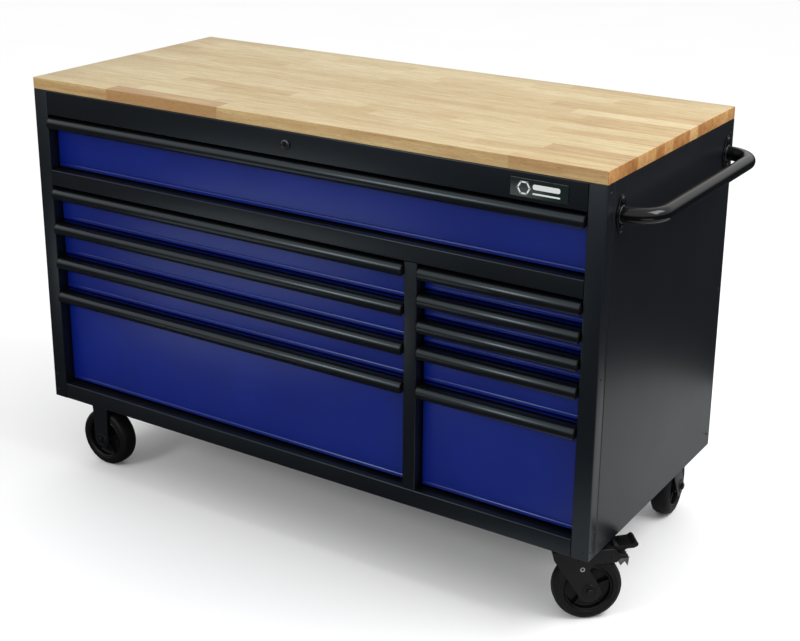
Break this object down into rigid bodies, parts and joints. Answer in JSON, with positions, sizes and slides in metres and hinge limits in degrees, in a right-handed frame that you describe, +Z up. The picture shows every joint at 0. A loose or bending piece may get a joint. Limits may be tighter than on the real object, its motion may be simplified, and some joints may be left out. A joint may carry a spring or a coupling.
{
  "type": "workbench with drawers",
  "caption": "Mobile tool cabinet on casters with a wooden worktop, drawers in a sheet-steel frame, a central lock and a push handle on one side.",
  "frame": {"origin": "on the floor, under the middle of the whole bench", "axes": "+X to the right along the length, towards the push handle; +Y to the back; +Z up; the drawers open towards -Y"},
  "size_m": [1.5022, 0.6968, 0.959],
  "materials": {
    "beech_top": "oiled hardwood, satin",
    "black_powder_coat": "semi-gloss black powder coat",
    "blue_paint": "semi-gloss royal blue paint",
    "dark_handle": "satin black",
    "zinc_steel": "zinc plated",
    "wheel_rubber": "matt black rubber",
    "black_plastic": "moulded black",
    "badge_plastic": "gloss black"
  },
  "bodies": {
    "carcass": {"worktop": "beech_top", "side_panel_left": "black_powder_coat", "side_panel_right": "black_powder_coat", "back_panel": "black_powder_coat", "base_panel": "black_powder_coat", "centre_partition": "black_powder_coat", "corner_post_left": "black_powder_coat", "corner_post_right": "black_powder_coat", "top_rail": "black_powder_coat", "middle_rail": "black_powder_coat", "bottom_rail": "black_powder_coat", "centre_post": "black_powder_coat", "runner_rack_left": "zinc_steel", "runner_rack_right": "zinc_steel", "runner_rack_centre_left": "zinc_steel", "runner_rack_centre_right": "zinc_steel", "push_handle_tube": "black_powder_coat", "push_handle_flange_front": "black_powder_coat", "push_handle_flange_back": "black_powder_coat", "badge_plate": "badge_plastic", "bracket_front_left": "black_powder_coat", "bracket_back_left": "black_powder_coat", "axle_front_left": "zinc_steel", "axle_back_left": "zinc_steel", "swivel_plate_front_right": "zinc_steel", "swivel_plate_back_right": "zinc_steel"},
    "drawer_top": {"drawer_top": "blue_paint", "handle_top": "dark_handle"},
    "drawer_left_1": {"drawer_left_1": "blue_paint", "handle_left_1": "dark_handle"},
    "drawer_left_2": {"drawer_left_2": "blue_paint", "handle_left_2": "dark_handle"},
    "drawer_left_3": {"drawer_left_3": "blue_paint", "handle_left_3": "dark_handle"},
    "drawer_left_4": {"drawer_left_4": "blue_paint", "handle_left_4": "dark_handle"},
    "drawer_right_1": {"drawer_right_1": "blue_paint", "handle_right_1": "dark_handle"},
    "drawer_right_2": {"drawer_right_2": "blue_paint", "handle_right_2": "dark_handle"},
    "drawer_right_3": {"drawer_right_3": "blue_paint", "handle_right_3": "dark_handle"},
    "drawer_right_4": {"drawer_right_4": "blue_paint", "handle_right_4": "dark_handle"},
    "drawer_right_5": {"drawer_right_5": "blue_paint", "handle_right_5": "dark_handle"},
    "lock": {"lock_cylinder": "zinc_steel", "lock_shaft": "zinc_steel"},
    "lock_frame": {"lock_frame": "zinc_steel"},
    "swivel_front_right": {"fork_front_right": "black_powder_coat", "axle_front_right": "zinc_steel"},
    "wheel_front_right": {"wheel_front_right": "wheel_rubber"},
    "brake_front_right": {"brake_pedal_front_right": "black_plastic"},
    "swivel_back_right": {"fork_back_right": "black_powder_coat", "axle_back_right": "zinc_steel"},
    "wheel_back_right": {"wheel_back_right": "wheel_rubber"},
    "brake_back_right": {"brake_pedal_back_right": "black_plastic"},
    "wheel_front_left": {"wheel_front_left": "wheel_rubber"},
    "wheel_back_left": {"wheel_back_left": "wheel_rubber"}
  },
  "joints": [
    {"name": "drawer_top_slide", "type": "slide", "parent": "carcass", "child": "drawer_top", "axis": [0, -1, 0], "range_m": [0, 0.4]},
    {"name": "drawer_left_1_slide", "type": "slide", "parent": "carcass", "child": "drawer_left_1", "axis": [0, -1, 0], "range_m": [0, 0.4]},
    {"name": "drawer_left_2_slide", "type": "slide", "parent": "carcass", "child": "drawer_left_2", "axis": [0, -1, 0], "range_m": [0, 0.4]},
    {"name": "drawer_left_3_slide", "type": "slide", "parent": "carcass", "child": "drawer_left_3", "axis": [0, -1, 0], "range_m": [0, 0.4]},
    {"name": "drawer_left_4_slide", "type": "slide", "parent": "carcass", "child": "drawer_left_4", "axis": [0, -1, 0], "range_m": [0, 0.4]},
    {"name": "drawer_right_1_slide", "type": "slide", "parent": "carcass", "child": "drawer_right_1", "axis": [0, -1, 0], "range_m": [0, 0.4]},
    {"name": "drawer_right_2_slide", "type": "slide", "parent": "carcass", "child": "drawer_right_2", "axis": [0, -1, 0], "range_m": [0, 0.4]},
    {"name": "drawer_right_3_slide", "type": "slide", "parent": "carcass", "child": "drawer_right_3", "axis": [0, -1, 0], "range_m": [0, 0.4]},
    {"name": "drawer_right_4_slide", "type": "slide", "parent": "carcass", "child": "drawer_right_4", "axis": [0, -1, 0], "range_m": [0, 0.4]},
    {"name": "drawer_right_5_slide", "type": "slide", "parent": "carcass", "child": "drawer_right_5", "axis": [0, -1, 0], "range_m": [0, 0.4]},
    {"name": "lock_turn", "type": "hinge", "parent": "carcass", "child": "lock", "pos_m": [-0.04009, -0.34043, 0.905], "axis": [0, 1, 0], "range_deg": [0, 90]},
    {"name": "lock_frame_lift", "type": "slide", "parent": "carcass", "child": "lock_frame", "axis": [0, 0, 1], "range_m": [0, 0.009]},
    {"name": "swivel_front_right_turn", "type": "hinge", "parent": "carcass", "child": "swivel_front_right", "pos_m": [0.59791, -0.27143, 0.158], "axis": [0, 0, 1], "continuous": true},
    {"name": "wheel_front_right_spin", "type": "hinge", "parent": "swivel_front_right", "child": "wheel_front_right", "pos_m": [0.6271, -0.24711, 0.071], "axis": [0.6401, -0.7683, 0], "continuous": true},
    {"name": "brake_front_right_press", "type": "hinge", "parent": "swivel_front_right", "child": "brake_front_right", "pos_m": [0.6609, -0.21895, 0.145], "axis": [-0.6401, 0.7683, 0], "range_deg": [0, 7]},
    {"name": "swivel_back_right_turn", "type": "hinge", "parent": "carcass", "child": "swivel_back_right", "pos_m": [0.59791, 0.21157, 0.158], "axis": [0, 0, 1], "continuous": true},
    {"name": "wheel_back_right_spin", "type": "hinge", "parent": "swivel_back_right", "child": "wheel_back_right", "pos_m": [0.59393, 0.24936, 0.071], "axis": [0.9945, 0.1045, 0], "continuous": true},
    {"name": "brake_back_right_press", "type": "hinge", "parent": "swivel_back_right", "child": "brake_back_right", "pos_m": [0.58933, 0.29312, 0.145], "axis": [-0.9945, -0.1045, 0], "range_deg": [0, 7]},
    {"name": "wheel_front_left_spin", "type": "hinge", "parent": "carcass", "child": "wheel_front_left", "pos_m": [-0.64609, -0.27143, 0.071], "axis": [0, -1, 0], "continuous": true},
    {"name": "wheel_back_left_spin", "type": "hinge", "parent": "carcass", "child": "wheel_back_left", "pos_m": [-0.64609, 0.21157, 0.071], "axis": [0, -1, 0], "continuous": true}
  ],
  "couplings": [
    {"joint": "lock_turn", "follows": "lock_frame_lift", "rad_per_m": 174.36}
  ]
}
